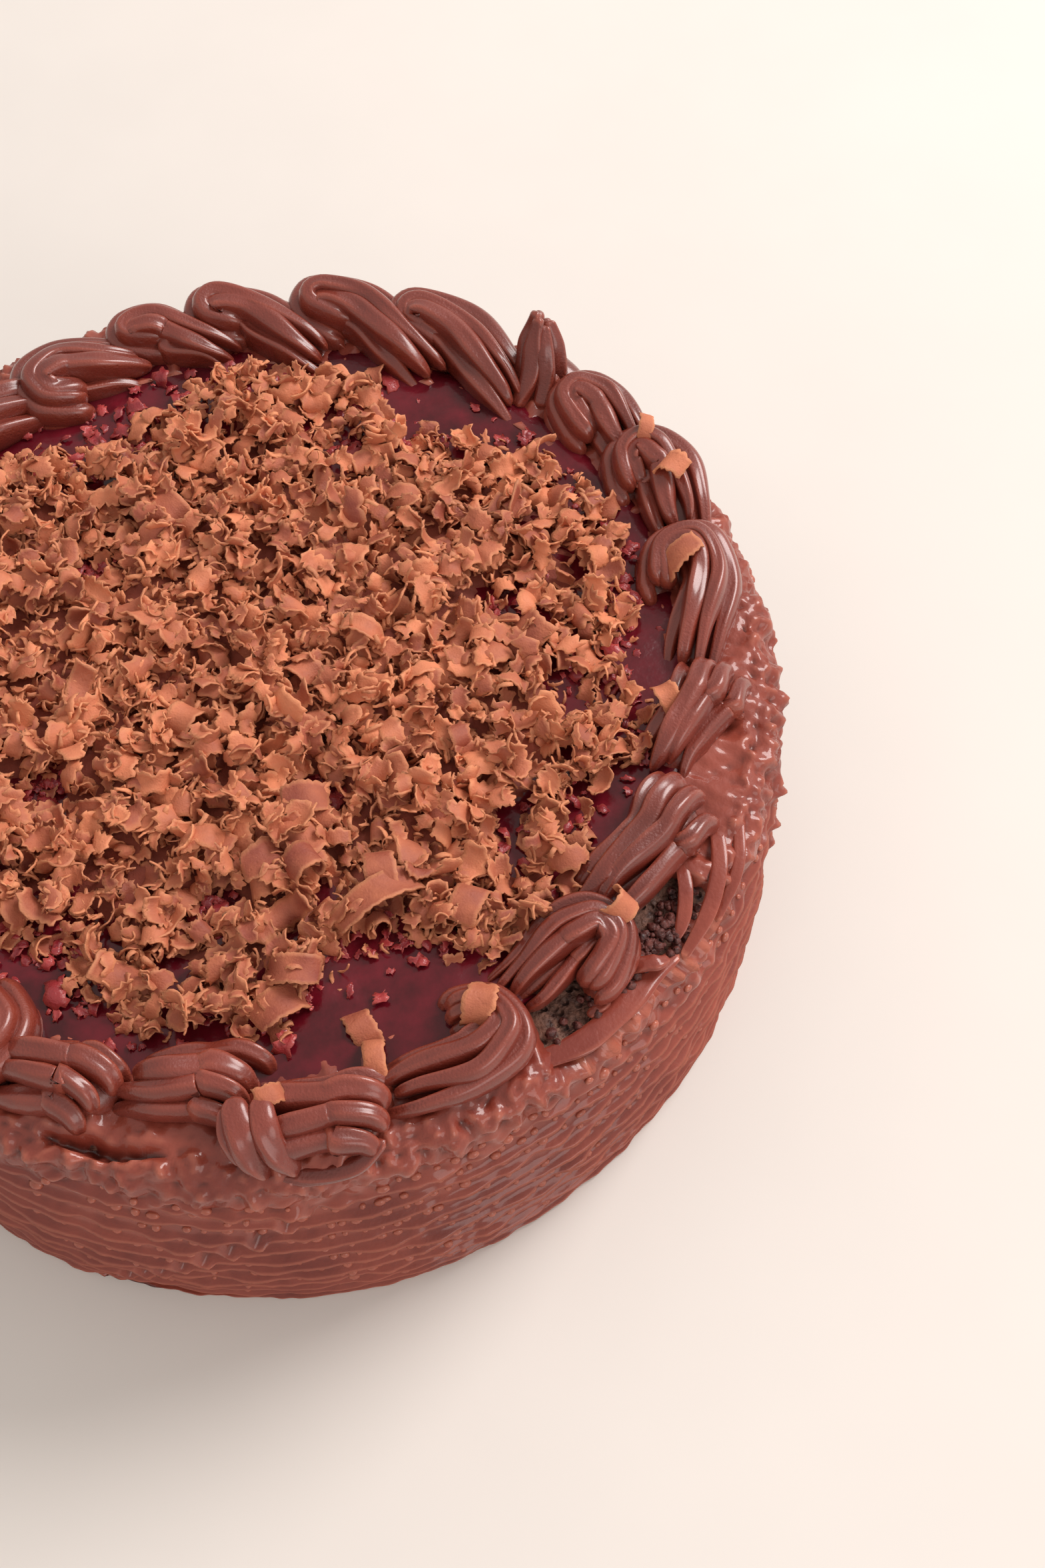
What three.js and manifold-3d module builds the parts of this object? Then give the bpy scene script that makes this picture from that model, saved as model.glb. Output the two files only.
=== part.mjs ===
// A round chocolate cake: sponge, combed icing, cherry jam, a piped border and a heap of chocolate shavings.
// Millimetres, +Z up. The cake stands on z = 0, and its front is towards -Y. Angles are in degrees, anticlockwise
// from +X seen from above. The border was piped clockwise, so each swirl runs towards lower angles.

import * as THREE from 'three';
import { mergeVertices } from 'three/addons/utils/BufferGeometryUtils.js';
import Module from 'manifold-3d';

const wasm = await Module();
wasm.setup();

// Driving dimensions
const GAP = 0.3; // air kept between touching pieces
const CUT_GAP = 0.5; // air cut round a swirl in the piping it lies on
const COLUMNS = 40; // facets round the sponge, the icing and the jam, which line up
const FOOT_RADIUS = 110; // icing at the foot
const SHOULDER_RADIUS = 108.5; // icing just under its rounded shoulder
const SHOULDER_HEIGHT = 70; // top of the icing under the border
const SPONGE_RADIUS = 103;
const SPONGE_HEIGHT = 67;
const SPONGE_EDGE = 2; // bevel of the sponge's edges
const JAM_RADIUS = 86;
const JAM_HEIGHT = SHOULDER_HEIGHT; // the jam is level with the icing round it
const BORDER_RISE = 5.5; // piping centre line above the shoulder
const PIPE_GIRTH = 9.6; // radius of a full swirl, over its ridges
const PIPE_SPREAD = 1.16; // how much wider than tall a swirl's section is
const PIPE_RIDGES = 5;
const PIPE_TWIST = 40; // turn of the ridges along a swirl
const RIDGE_DEPTH = 0.26; // groove depth as a share of the swirl's radius
const HOOK_REACH = 4; // how far past its head a swirl's hook starts
const HOOK_DROP = 2; // how much lower the hook starts than the run
const TAIL_DROP = 3; // how much lower the run ends than it starts
const HEAP_RADIUS = 79;
const HEAP_CROWN = 6.5; // core height in the middle
const HEAP_EDGE = 1.6; // core height at its rim

// Materials
const spongeLook = new THREE.MeshStandardMaterial({ color: 0x2b1512, roughness: 0.95, metalness: 0 });
const icingLook = new THREE.MeshStandardMaterial({ color: 0x6b3a2e, roughness: 0.45, metalness: 0 });
const pipingLook = new THREE.MeshStandardMaterial({ color: 0x5e3026, roughness: 0.35, metalness: 0 });
const jamLook = new THREE.MeshStandardMaterial({ color: 0x4a1220, roughness: 0.15, metalness: 0 });
const shavingLook = new THREE.MeshStandardMaterial({ color: 0x9a5f42, roughness: 0.7, metalness: 0 });

const radians = THREE.MathUtils.degToRad;

function seeded(seed) {
  let state = seed;
  return () => {
    state = (state * 1664525 + 1013904223) % 4294967296;
    return state / 4294967296;
  };
}

function polar(radius, angle, height) {
  return new THREE.Vector3(radius * Math.cos(radians(angle)), radius * Math.sin(radians(angle)), height);
}

// Signed difference of two angles, from -180 to 180.
function turnBetween(angle, other) {
  return ((angle - other + 540) % 360) - 180;
}

function bump(distance, halfWidth) {
  return Math.exp(-((distance / halfWidth) ** 2));
}

// Skin over rings of points. The rings run with their points clockwise seen along the way.
function skin(rings, { loop = false } = {}) {
  const count = rings[0].length;
  const points = rings.flat();
  const faces = [];
  const spans = loop ? rings.length : rings.length - 1;
  for (let i = 0; i < spans; i++) {
    const here = i * count;
    const there = ((i + 1) % rings.length) * count;
    for (let j = 0; j < count; j++) {
      const k = (j + 1) % count;
      faces.push(here + j, here + k, there + k, here + j, there + k, there + j);
    }
  }
  if (!loop) {
    for (const [ring, outward] of [[0, true], [rings.length - 1, false]]) {
      const middle = new THREE.Vector3();
      rings[ring].forEach((p) => middle.addScaledVector(p, 1 / count));
      points.push(middle);
      for (let j = 0; j < count; j++) {
        const a = ring * count + j;
        const b = ring * count + ((j + 1) % count);
        faces.push(...(outward ? [points.length - 1, b, a] : [points.length - 1, a, b]));
      }
    }
  }
  const geometry = new THREE.BufferGeometry();
  geometry.setAttribute('position', new THREE.Float32BufferAttribute(points.flatMap((p) => p.toArray()), 3));
  geometry.setIndex(faces);
  return geometry;
}

function toSolid(geometry) {
  const bare = geometry.clone();
  bare.deleteAttribute('normal');
  bare.deleteAttribute('uv');
  const merged = mergeVertices(bare, 1e-4);
  const solid = new wasm.Manifold(
    new wasm.Mesh({
      numProp: 3,
      vertProperties: new Float32Array(merged.attributes.position.array),
      triVerts: new Uint32Array(merged.index.array),
    }),
  );
  return solid.volume() < 0 ? toSolid(turnedOut(merged)) : solid;
}

function turnedOut(geometry) {
  const index = geometry.index.array;
  for (let i = 0; i < index.length; i += 3) [index[i], index[i + 1]] = [index[i + 1], index[i]];
  return geometry;
}

function largestBody(solid) {
  return solid.decompose().reduce((a, b) => (b.volume() > a.volume() ? b : a));
}

// The main body of a solid without loose scraps or sealed hollows, and with its short edges merged. Building it
// again from its own surface parts the hollows that touch the outside at one point, so that they drop out too.
function mainBody(solid) {
  const shortest = 0.15;
  const rebuilt = () => largestBody(toSolid(toGeometry(body)));
  let body = largestBody(solid);
  for (let pass = 0; pass < 2; pass++) {
    body = rebuilt();
    body = largestBody(body.simplify(shortest));
  }
  return rebuilt();
}

function toGeometry(solid) {
  const mesh = solid.getMesh();
  const geometry = new THREE.BufferGeometry();
  geometry.setAttribute('position', new THREE.Float32BufferAttribute(mesh.vertProperties, 3));
  geometry.setIndex([...mesh.triVerts]);
  return geometry;
}

const cake = new THREE.Group();

function add(name, geometry, material) {
  const mesh = new THREE.Mesh(geometry, material);
  mesh.name = name;
  cake.add(mesh);
}

function lathe(profile, segments) {
  const turned = new THREE.LatheGeometry(profile.map(([r, z]) => new THREE.Vector2(r, z)), segments);
  return turned.rotateX(Math.PI / 2);
}

// Sponge

function makeSponge() {
  return lathe(
    [
      [0, 0],
      [SPONGE_RADIUS - SPONGE_EDGE, 0],
      [SPONGE_RADIUS, SPONGE_EDGE],
      [SPONGE_RADIUS, SPONGE_HEIGHT - SPONGE_EDGE],
      [SPONGE_RADIUS - SPONGE_EDGE, SPONGE_HEIGHT],
      [0, SPONGE_HEIGHT],
    ],
    COLUMNS,
  );
}

// Combed icing

const COMB_TEETH = 8;
const COMB_FIRST = 4.5; // height of the lowest ridge
const COMB_LAST = 60; // height of the highest ridge
const RIDGE_OUT = 1.1;
const GROOVE_IN = 0.7;
const GROOVE_BELOW = 2.4; // from a ridge down to the groove under it
const SHOULDER_BEND = [[0.4, 5.5], [1.8, 1.6], [4.5, 0]]; // inward and down from the shoulder's corner
const SMOOTHED = { angle: 345, halfWidth: 10, proud: 1.3 }; // where a knife smoothed the comb's ridges away
const SEAM = { angle: 256, step: 2.2 }; // where the comb's run ends over its beginning
const TORN = { from: 291, to: 317, pace: 6.5, height: 66, proud: 1 }; // where the icing came off the shoulder
const SLIT = { from: 238, to: 248, pace: 5, height: 67.8, proud: 1.6, size: 3.4 }; // a slit under the border

function icingRadius(angle, height) {
  const taper = THREE.MathUtils.lerp(FOOT_RADIUS, SHOULDER_RADIUS, height / SHOULDER_HEIGHT);
  const wobble = 0.5 * Math.sin(radians(3 * angle + 40)) + 0.3 * Math.sin(radians(7 * angle));
  return taper + wobble;
}

function makeIcing() {
  const bottom = 0.4;
  const inner = SPONGE_RADIUS + GAP;
  const rings = [];
  for (let i = 0; i < COLUMNS; i++) {
    const angle = (i * 360) / COLUMNS;
    const smooth = bump(turnBetween(angle, SMOOTHED.angle), SMOOTHED.halfWidth);
    const ridge = 1 - smooth;
    const lift = turnBetween(angle, SEAM.angle) > 0 ? 0 : SEAM.step * (1 + turnBetween(angle, SEAM.angle) / 180);
    const ring = [polar(inner, angle, bottom), polar(icingRadius(angle, 0) + 0.3, angle, bottom)];
    for (let tooth = 0; tooth < COMB_TEETH; tooth++) {
      const height = THREE.MathUtils.lerp(COMB_FIRST, COMB_LAST, tooth / (COMB_TEETH - 1)) + lift;
      const below = height - GROOVE_BELOW;
      ring.push(polar(icingRadius(angle, below) - GROOVE_IN * ridge + SMOOTHED.proud * smooth, angle, below));
      ring.push(polar(icingRadius(angle, height) + RIDGE_OUT * ridge + SMOOTHED.proud * smooth, angle, height));
    }
    for (const [inward, down] of SHOULDER_BEND) {
      ring.push(polar(SHOULDER_RADIUS - inward, angle, SHOULDER_HEIGHT - down));
    }
    ring.push(polar(JAM_RADIUS + GAP, angle, SHOULDER_HEIGHT));
    ring.push(polar(JAM_RADIUS + GAP, angle, SPONGE_HEIGHT + GAP));
    ring.push(polar(inner - SPONGE_EDGE, angle, SPONGE_HEIGHT + GAP));
    ring.push(polar(inner, angle, SPONGE_HEIGHT - SPONGE_EDGE + GAP));
    rings.push(ring);
  }
  let icing = toSolid(skin(rings, { loop: true }));
  // The torn shoulder is bitten out by a row of uneven lumps.
  const random = seeded(5);
  for (let angle = TORN.from; angle <= TORN.to; angle += TORN.pace) {
    const size = 5 + 3 * random();
    const lump = new THREE.IcosahedronGeometry(size, 1).scale(1.6, 1.6, 1);
    const place = polar(SPONGE_RADIUS + TORN.proud + 1.5 * random(), angle, TORN.height + 2 * random());
    icing = icing.subtract(toSolid(lump.translate(place.x, place.y, place.z)));
  }
  // The slit opens where the icing stood away from the sponge.
  for (let angle = SLIT.from; angle <= SLIT.to; angle += SLIT.pace) {
    const lump = new THREE.IcosahedronGeometry(SLIT.size, 1).scale(1.7, 1.7, 0.8);
    const place = polar(SPONGE_RADIUS + SLIT.proud, angle, SLIT.height);
    icing = icing.subtract(toSolid(lump.translate(place.x, place.y, place.z)));
  }
  return toGeometry(mainBody(icing));
}

// Jam

function makeJam() {
  const radius = JAM_RADIUS - GAP;
  const floor = SPONGE_HEIGHT + GAP;
  return lathe(
    [
      [0, floor],
      [radius, floor],
      [radius, JAM_HEIGHT - 0.8],
      [radius - 1, JAM_HEIGHT],
      [0, JAM_HEIGHT],
    ],
    COLUMNS,
  );
}

// Piped border
// Each swirl starts in a hook, loops over its own head and runs on to a low tail, where the next one covers it.
// head and tail are angles, crest and end are the radii there, and hook is how far the start reaches out
// (positive) or in (negative) from the crest. size scales the piping, and curl is the share of the way along
// where a shaving lies on it.

const SWIRLS = [
  { head: 98, tail: 84, crest: 96, end: 88, hook: 5, size: 0.84 },
  { head: 86, tail: 69, crest: 98, end: 89, hook: 6, size: 0.86 },
  { head: 72, tail: 53, crest: 100, end: 91, hook: 5, size: 0.9 },
  { head: 59, tail: 39, crest: 100, end: 94, hook: 6, size: 0.92 },
  { head: 42, tail: 36, crest: 100, end: 98, hook: 3, size: 0.78, rise: 7 },
  { head: 34, tail: 21, crest: 101, end: 99, hook: -7, size: 0.76 },
  { head: 22, tail: 7, crest: 101, end: 98, hook: -8, size: 0.82, curl: 0.45 },
  { head: 6, tail: -14, crest: 98, end: 90, hook: -10, size: 0.82, curl: 0.35 },
  { head: 346, tail: 330, crest: 93, end: 86, hook: -5, size: 0.8, curl: 0.25 },
  { head: 328, tail: 307, crest: 91, end: 87, hook: 3, size: 0.8 },
  { head: 307, tail: 291, crest: 88, end: 88, hook: 9, size: 0.74, curl: 0.3 },
  { head: 290, tail: 273, crest: 97, end: 96, hook: -10, size: 0.74, curl: 0.35 },
  { head: 274, tail: 257, crest: 98, end: 97, hook: 7, size: 0.74 },
  { head: 260, tail: 244, crest: 90, end: 92, hook: 7, size: 0.74, curl: 0.12 },
  { head: 244, tail: 229, crest: 93, end: 96, hook: 6, size: 0.78 },
];
// The side that faces away repeats the same hand at an even pace.
const FAR_SIDE = { from: 230, to: 113, count: 9 };
for (let i = 0; i < FAR_SIDE.count; i++) {
  const pace = (FAR_SIDE.from - FAR_SIDE.to) / (FAR_SIDE.count - 1);
  const head = FAR_SIDE.from - pace * i;
  const sway = Math.sin(i * 2.3);
  SWIRLS.push({
    head,
    tail: head - pace - 2,
    crest: 95 + 2 * sway,
    end: 91 + sway,
    hook: i % 3 === 1 ? 8 : -8,
    size: 0.97 - 0.015 * i + 0.03 * sway,
  });
}

// The two strokes of a swirl: a short straight hook, and the run that starts over the hook's end.
function swirlStrokes({ head, tail, crest, end, hook, size, rise = 0 }) {
  const base = SHOULDER_HEIGHT + BORDER_RISE * size;
  const lead = THREE.MathUtils.radToDeg(HOOK_REACH / crest);
  const bow = THREE.MathUtils.lerp(crest, end, 0.35) - 0.12 * hook; // the run bows out from its hook
  return {
    hook: new THREE.CatmullRomCurve3([
      polar(crest + hook, head - lead, base - HOOK_DROP),
      polar(crest + 0.4 * hook, head + 0.25 * lead, base + 0.5 * rise - HOOK_DROP / 4),
    ]),
    run: new THREE.CatmullRomCurve3([
      polar(crest, head + 0.35 * lead, base + rise),
      polar(bow, (head + tail) / 2, base),
      polar(end, tail, base - TAIL_DROP),
    ]),
  };
}

// Shares of the full girth along a hook, which thickens, and along a run, which swells and then fades.
function hookGirth(t) {
  return THREE.MathUtils.lerp(0.45, 0.75, t);
}

function runGirth(t) {
  const swell = THREE.MathUtils.lerp(0.55, 1, THREE.MathUtils.smoothstep(t, 0, 0.35));
  const fade = THREE.MathUtils.lerp(1, 0.6, THREE.MathUtils.smoothstep(t, 0.6, 1));
  return swell * fade;
}

// Ridged piping along one stroke. girthAt gives its share of the full girth, and extra widens and lengthens it.
function piped(path, steps, size, girthAt, extra) {
  const rings = [];
  for (let i = 0; i <= steps; i++) {
    const t = i / steps;
    const centre = path.getPoint(t);
    const ahead = path.getTangent(t);
    const side = new THREE.Vector3().crossVectors(ahead, new THREE.Vector3(0, 0, 1)).normalize();
    const over = new THREE.Vector3().crossVectors(side, ahead);
    if (i === 0) centre.addScaledVector(ahead, -extra);
    if (i === steps) centre.addScaledVector(ahead, extra);
    const girth = PIPE_GIRTH * size * girthAt(t);
    const twist = radians(PIPE_TWIST) * t;
    const ring = [];
    for (let j = 0; j < 2 * PIPE_RIDGES; j++) {
      const lean = (j * Math.PI) / PIPE_RIDGES + twist;
      const reach = girth * (j % 2 ? 1 - RIDGE_DEPTH : 1) + extra;
      const across = reach * PIPE_SPREAD * Math.cos(lean);
      ring.push(centre.clone().addScaledVector(side, across).addScaledVector(over, reach * Math.sin(lean)));
    }
    rings.push(ring);
  }
  return toSolid(skin(rings));
}

function swirlSolid(swirl, extra = 0) {
  const { hook, run } = swirlStrokes(swirl);
  return piped(run, 6, swirl.size, runGirth, extra).add(piped(hook, 2, swirl.size, hookGirth, extra));
}

// Shavings

// One shaving: a strip of chocolate curled along its length, tapered and torn at its ends.
function shaving(length, width, curlRadius, random) {
  const stations = 3;
  const thickness = 0.8;
  const rings = [];
  for (let i = 0; i < stations; i++) {
    const share = i / (stations - 1) - 0.5;
    const bend = (share * length) / curlRadius;
    const half = (width / 2) * (1 - 0.45 * Math.abs(share) * (1 + random()));
    const skew = (random() - 0.5) * 0.25 * width;
    const at = (radius, across) =>
      new THREE.Vector3(radius * Math.sin(bend), across + skew, radius * Math.cos(bend) - curlRadius);
    const inner = curlRadius - thickness / 2;
    const outer = curlRadius + thickness / 2;
    rings.push([at(inner, -half), at(outer, -half), at(outer, half), at(inner, half)]);
  }
  return skin(rings);
}

// Bays where the jam shows at the heap's edge: angle, depth and half width.
const BAYS = [
  [103, 13, 12],
  [50, 8, 12],
  [350, 5, 8],
  [322, 9, 8],
  [277, 14, 12],
  [226, 12, 8],
  [170, 9, 14],
  [140, 5, 6],
];

function heapReach(angle) {
  let reach = HEAP_RADIUS + 1.2 * Math.sin(radians(5 * angle)) + 0.8 * Math.sin(radians(11 * angle + 60));
  for (const [bay, depth, halfWidth] of BAYS) reach -= depth * bump(turnBetween(angle, bay), halfWidth);
  return reach;
}

function heapHeight(radius, angle) {
  const share = Math.min(1, radius / heapReach(angle));
  return HEAP_EDGE + (HEAP_CROWN - HEAP_EDGE) * (1 - share ** 2.5);
}

function makeHeap() {
  const floor = JAM_HEIGHT + GAP;
  const spokes = 40;
  const shares = [0.97, 1, 0.93, 0.7, 0.4];
  const rings = shares.map((share, level) => {
    const ring = [];
    for (let i = 0; i < spokes; i++) {
      const angle = (i * 360) / spokes;
      const radius = share * (heapReach(angle) - 4);
      const height = level === 0 ? 0 : level === 1 ? HEAP_EDGE * 0.5 : heapHeight(radius, angle);
      ring.push(polar(radius, angle, floor + height));
    }
    return ring;
  });
  let heap = toSolid(skin(rings));
  const random = seeded(11);
  const count = 74;
  const goldenTurn = 137.508;
  const flakes = [];
  for (let k = 0; k < count; k++) {
    const angle = (k * goldenTurn) % 360;
    const radius = (heapReach(angle) - 5) * Math.sqrt((k + 0.5) / count);
    const big = random();
    const length = 11 + 9 * big * big;
    const width = 7 + 4 * random();
    const strip = shaving(length, width, 5 + 7 * random(), random);
    strip.rotateX((random() - 0.5) * 1.3);
    strip.rotateY((random() - 0.5) * 1.1);
    strip.rotateZ(random() * 2 * Math.PI);
    const place = polar(radius, angle, floor + heapHeight(radius, angle) + 1.2 + 0.8 * random());
    flakes.push(toSolid(strip.translate(place.x, place.y, place.z)));
  }
  heap = wasm.Manifold.union([heap, ...flakes]);
  // Nothing of the heap dips into the jam.
  const above = new THREE.CylinderGeometry(JAM_RADIUS - 2, JAM_RADIUS - 2, 40, 64).rotateX(Math.PI / 2);
  heap = heap.intersect(toSolid(above.translate(0, 0, floor + 20)));
  return mainBody(heap);
}

function curlOn(swirl, random) {
  const spot = swirlStrokes(swirl).run.getPoint(swirl.curl);
  const strip = shaving(9, 6, 5.5, random);
  strip.rotateX(0.3);
  strip.rotateZ(random() * Math.PI);
  const height = spot.z + PIPE_GIRTH * swirl.size * runGirth(swirl.curl) - 0.4;
  return toSolid(strip.translate(spot.x, spot.y, height));
}

// Putting it together

add('sponge', makeSponge(), spongeLook);
add('icing', makeIcing(), icingLook);
add('jam', makeJam(), jamLook);

const swirlRandom = seeded(23);
const wide = SWIRLS.map((swirl) => swirlSolid(swirl, CUT_GAP));
const swirlSolids = SWIRLS.map((swirl, i) => {
  const covers = [1, 2].map((ahead) => wide[(i + ahead) % SWIRLS.length]);
  let solid = swirlSolid(swirl);
  if (swirl.curl !== undefined) solid = solid.add(curlOn(swirl, swirlRandom));
  const uncovered = solid.subtract(wasm.Manifold.union(covers));
  return mainBody(uncovered.trimByPlane([0, 0, 1], SHOULDER_HEIGHT + GAP));
});
swirlSolids.forEach((solid, i) => {
  add(`swirl_${String(i + 1).padStart(2, '0')}`, toGeometry(solid), pipingLook);
});

// The heap keeps clear of the swirls that lean over the jam.
const heapRoom = makeHeap().subtract(wasm.Manifold.union(wide));
add('shavings', toGeometry(mainBody(heapRoom)), shavingLook);

// The origin lies under the middle of the whole cake.
const whole = new THREE.Box3().setFromObject(cake);
const middle = whole.getCenter(new THREE.Vector3());
cake.position.set(-middle.x, -middle.y, 0);

export default cake;
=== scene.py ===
import math

import bpy
import numpy as np
from mathutils import Matrix, Vector
from mathutils.bvhtree import BVHTree


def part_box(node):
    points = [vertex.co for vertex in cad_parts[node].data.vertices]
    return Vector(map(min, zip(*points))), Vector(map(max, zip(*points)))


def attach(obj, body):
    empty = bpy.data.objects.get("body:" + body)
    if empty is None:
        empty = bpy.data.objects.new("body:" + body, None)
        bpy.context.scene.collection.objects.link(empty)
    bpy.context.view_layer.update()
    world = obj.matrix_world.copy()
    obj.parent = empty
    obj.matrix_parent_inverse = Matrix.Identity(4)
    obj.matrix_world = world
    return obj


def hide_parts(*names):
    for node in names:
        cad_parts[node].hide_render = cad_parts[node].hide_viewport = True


# A round chocolate cake: dark sponge, combed icing, cherry jam, a piped border and a heap of shavings.
# Lengths are millimetres from the cake's own axis unless a name says otherwise. Angles are degrees,
# anticlockwise from +X seen from above, and the cake's front is at 270. The border was piped clockwise.

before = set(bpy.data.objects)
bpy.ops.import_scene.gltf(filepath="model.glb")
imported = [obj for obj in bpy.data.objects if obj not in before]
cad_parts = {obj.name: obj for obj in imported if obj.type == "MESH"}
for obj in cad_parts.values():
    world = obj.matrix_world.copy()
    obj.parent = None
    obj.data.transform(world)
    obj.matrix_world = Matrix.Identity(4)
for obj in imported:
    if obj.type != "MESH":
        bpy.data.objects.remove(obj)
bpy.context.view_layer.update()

MM = 0.001
sponge_low, sponge_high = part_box("sponge")
AXIS = (sponge_low + sponge_high) / 2
SPONGE_RADIUS = (sponge_high.x - sponge_low.x) / 2 / MM
SPONGE_TOP = sponge_high.z / MM
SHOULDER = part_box("icing")[1].z / MM
JAM_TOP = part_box("jam")[1].z / MM
FOOT_RADIUS = 110
SHOULDER_RADIUS = 108.5
JAM_RADIUS = 86
HEAP_RADIUS = 79


# Geometry helpers

def turn_between(angle, other):
    """Signed difference of two angles, from -180 to 180."""
    return (angle - other + 540) % 360 - 180


def bump(distance, half_width):
    return np.exp(-((distance / half_width) ** 2))


def smooth(low, high, value):
    share = np.clip((value - low) / (high - low), 0, 1)
    return share * share * (3 - 2 * share)


def polar(radius, angle, height):
    turn = np.radians(angle)
    return np.stack(np.broadcast_arrays(radius * np.cos(turn), radius * np.sin(turn), height), -1)


def drift(angle, along, size, seed, waves=14):
    """Smooth noise of about unit height over the cake's side, with lumps of the given size."""
    rng = np.random.default_rng(seed)
    most = 2 * math.pi * SHOULDER_RADIUS / size
    total = 0
    for _ in range(waves):
        tilt = rng.uniform(0, 2 * math.pi)
        reach = rng.uniform(0.45, 1)
        turns = round(most * reach * math.cos(tilt))
        climb = 2 * math.pi / size * reach * math.sin(tilt)
        total = total + np.sin(np.radians(angle) * turns + along * climb + rng.uniform(0, 2 * math.pi))
    return total * math.sqrt(2 / waves)


def grid_faces(rows, columns, close_rows=False, close_columns=True):
    """Quads over a grid whose points run column by column within each row."""
    i, j = np.meshgrid(
        np.arange(rows if close_rows else rows - 1),
        np.arange(columns if close_columns else columns - 1),
        indexing="ij",
    )
    after = (i + 1) % rows
    beside = (j + 1) % columns
    corners = [i * columns + j, i * columns + beside, after * columns + beside, after * columns + j]
    return np.stack(corners, -1).reshape(-1, 4)


def capped_faces(rows, columns, flip=False):
    """Faces of a grid closed at its ends by fans to two points more: the first row's, then the last's."""
    faces = grid_faces(rows, columns).tolist()
    first = rows * columns
    end = first - columns
    for j in range(columns):
        beside = (j + 1) % columns
        faces.append([first, beside, j])
        faces.append([first + 1, end + j, end + beside])
    return [face[::-1] for face in faces] if flip else faces


def join_meshes(parts):
    points, faces, count = [], [], 0
    for part_points, part_faces in parts:
        points.append(part_points)
        faces += [[v + count for v in face] for face in part_faces]
        count += len(part_points)
    return np.concatenate(points), faces


def whole_turn(columns):
    return np.arange(columns) * 360 / columns


def closed_rows(rows, first, last):
    """Points and faces of rings of points, closed by a middle point at each end, at these heights."""
    points = np.concatenate(rows + [[[0, 0, first], [0, 0, last]]])
    return points, capped_faces(len(rows), len(rows[0]))


def make_piece(name, points, faces, material, slot, nodes=(), values=None):
    """A smooth-shaded mesh piece that rides on the cake. values holds named numbers for each point."""
    mesh = bpy.data.meshes.new(name)
    placed = np.asarray(points).reshape(-1, 3) * MM + [AXIS.x, AXIS.y, 0]
    mesh.from_pydata(placed.tolist(), [], [list(face) for face in faces])
    for key, numbers in (values or {}).items():
        layer = mesh.attributes.new(key, "FLOAT", "POINT")
        layer.data.foreach_set("value", np.asarray(numbers, dtype=np.float32).ravel())
    mesh.polygons.foreach_set("use_smooth", [True] * len(mesh.polygons))
    mesh.materials.append(material)
    mesh.update()
    piece = bpy.data.objects.new(name, mesh)
    bpy.context.scene.collection.objects.link(piece)
    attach(piece, "root")
    if nodes:
        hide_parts(*nodes)


# Materials

def srgb(red, green, blue):
    """Linear colour of an sRGB one given from 0 to 255."""
    share = [value / 255 for value in (red, green, blue)]
    return (*[v / 12.92 if v <= 0.04045 else ((v + 0.055) / 1.055) ** 2.4 for v in share], 1)


def new_group(name, inputs, outputs):
    """A shader node group with (name, socket type, default) inputs and (name, socket type) outputs."""
    group = bpy.data.node_groups.new(name, "ShaderNodeTree")
    for label, kind, default in inputs:
        socket = group.interface.new_socket(label, in_out="INPUT", socket_type=kind)
        socket.default_value = default
    for label, kind in outputs:
        group.interface.new_socket(label, in_out="OUTPUT", socket_type=kind)
    return group, group.nodes.new("NodeGroupInput"), group.nodes.new("NodeGroupOutput")


def place_node(tree, kind, links=(), **settings):
    """Adds a node, sets its fields or inputs by name, and links (from socket, input name) pairs."""
    node = tree.nodes.new(kind)
    for key, value in settings.items():
        if hasattr(node, key):
            setattr(node, key, value)
        else:
            node.inputs[key.replace("_", " ")].default_value = value
    for source, target in links:
        tree.links.new(source, node.inputs[target])
    return node


def mix_colors(tree, share, first, second):
    """A blend of two colours. Each of the three is a socket to link or a plain value."""
    node = place_node(tree, "ShaderNodeMix", data_type="RGBA")
    for value, place in ((share, "Factor"), (first, 6), (second, 7)):
        if isinstance(value, bpy.types.NodeSocket):
            tree.links.new(value, node.inputs[place])
        else:
            node.inputs[place].default_value = value
    return node.outputs[2]


def tone_drift_group():
    """Colour that wanders between two tones in soft clouds."""
    group, start, end = new_group(
        "tone_drift",
        [
            ("Deep", "NodeSocketColor", (0, 0, 0, 1)),
            ("Pale", "NodeSocketColor", (1, 1, 1, 1)),
            ("Size", "NodeSocketFloat", 100.0),
        ],
        [("Color", "NodeSocketColor"), ("Share", "NodeSocketFloat")],
    )
    place = place_node(group, "ShaderNodeTexCoord")
    cloud = place_node(
        group,
        "ShaderNodeTexNoise",
        [(place.outputs["Object"], "Vector"), (start.outputs["Size"], "Scale")],
        Detail=5.0,
        Roughness=0.6,
    )
    share = place_node(
        group, "ShaderNodeMapRange", [(cloud.outputs["Fac"], "Value")], From_Min=0.35, From_Max=0.65
    ).outputs["Result"]
    blend = mix_colors(group, share, start.outputs["Deep"], start.outputs["Pale"])
    group.links.new(blend, end.inputs["Color"])
    group.links.new(share, end.inputs["Share"])
    return group


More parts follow.
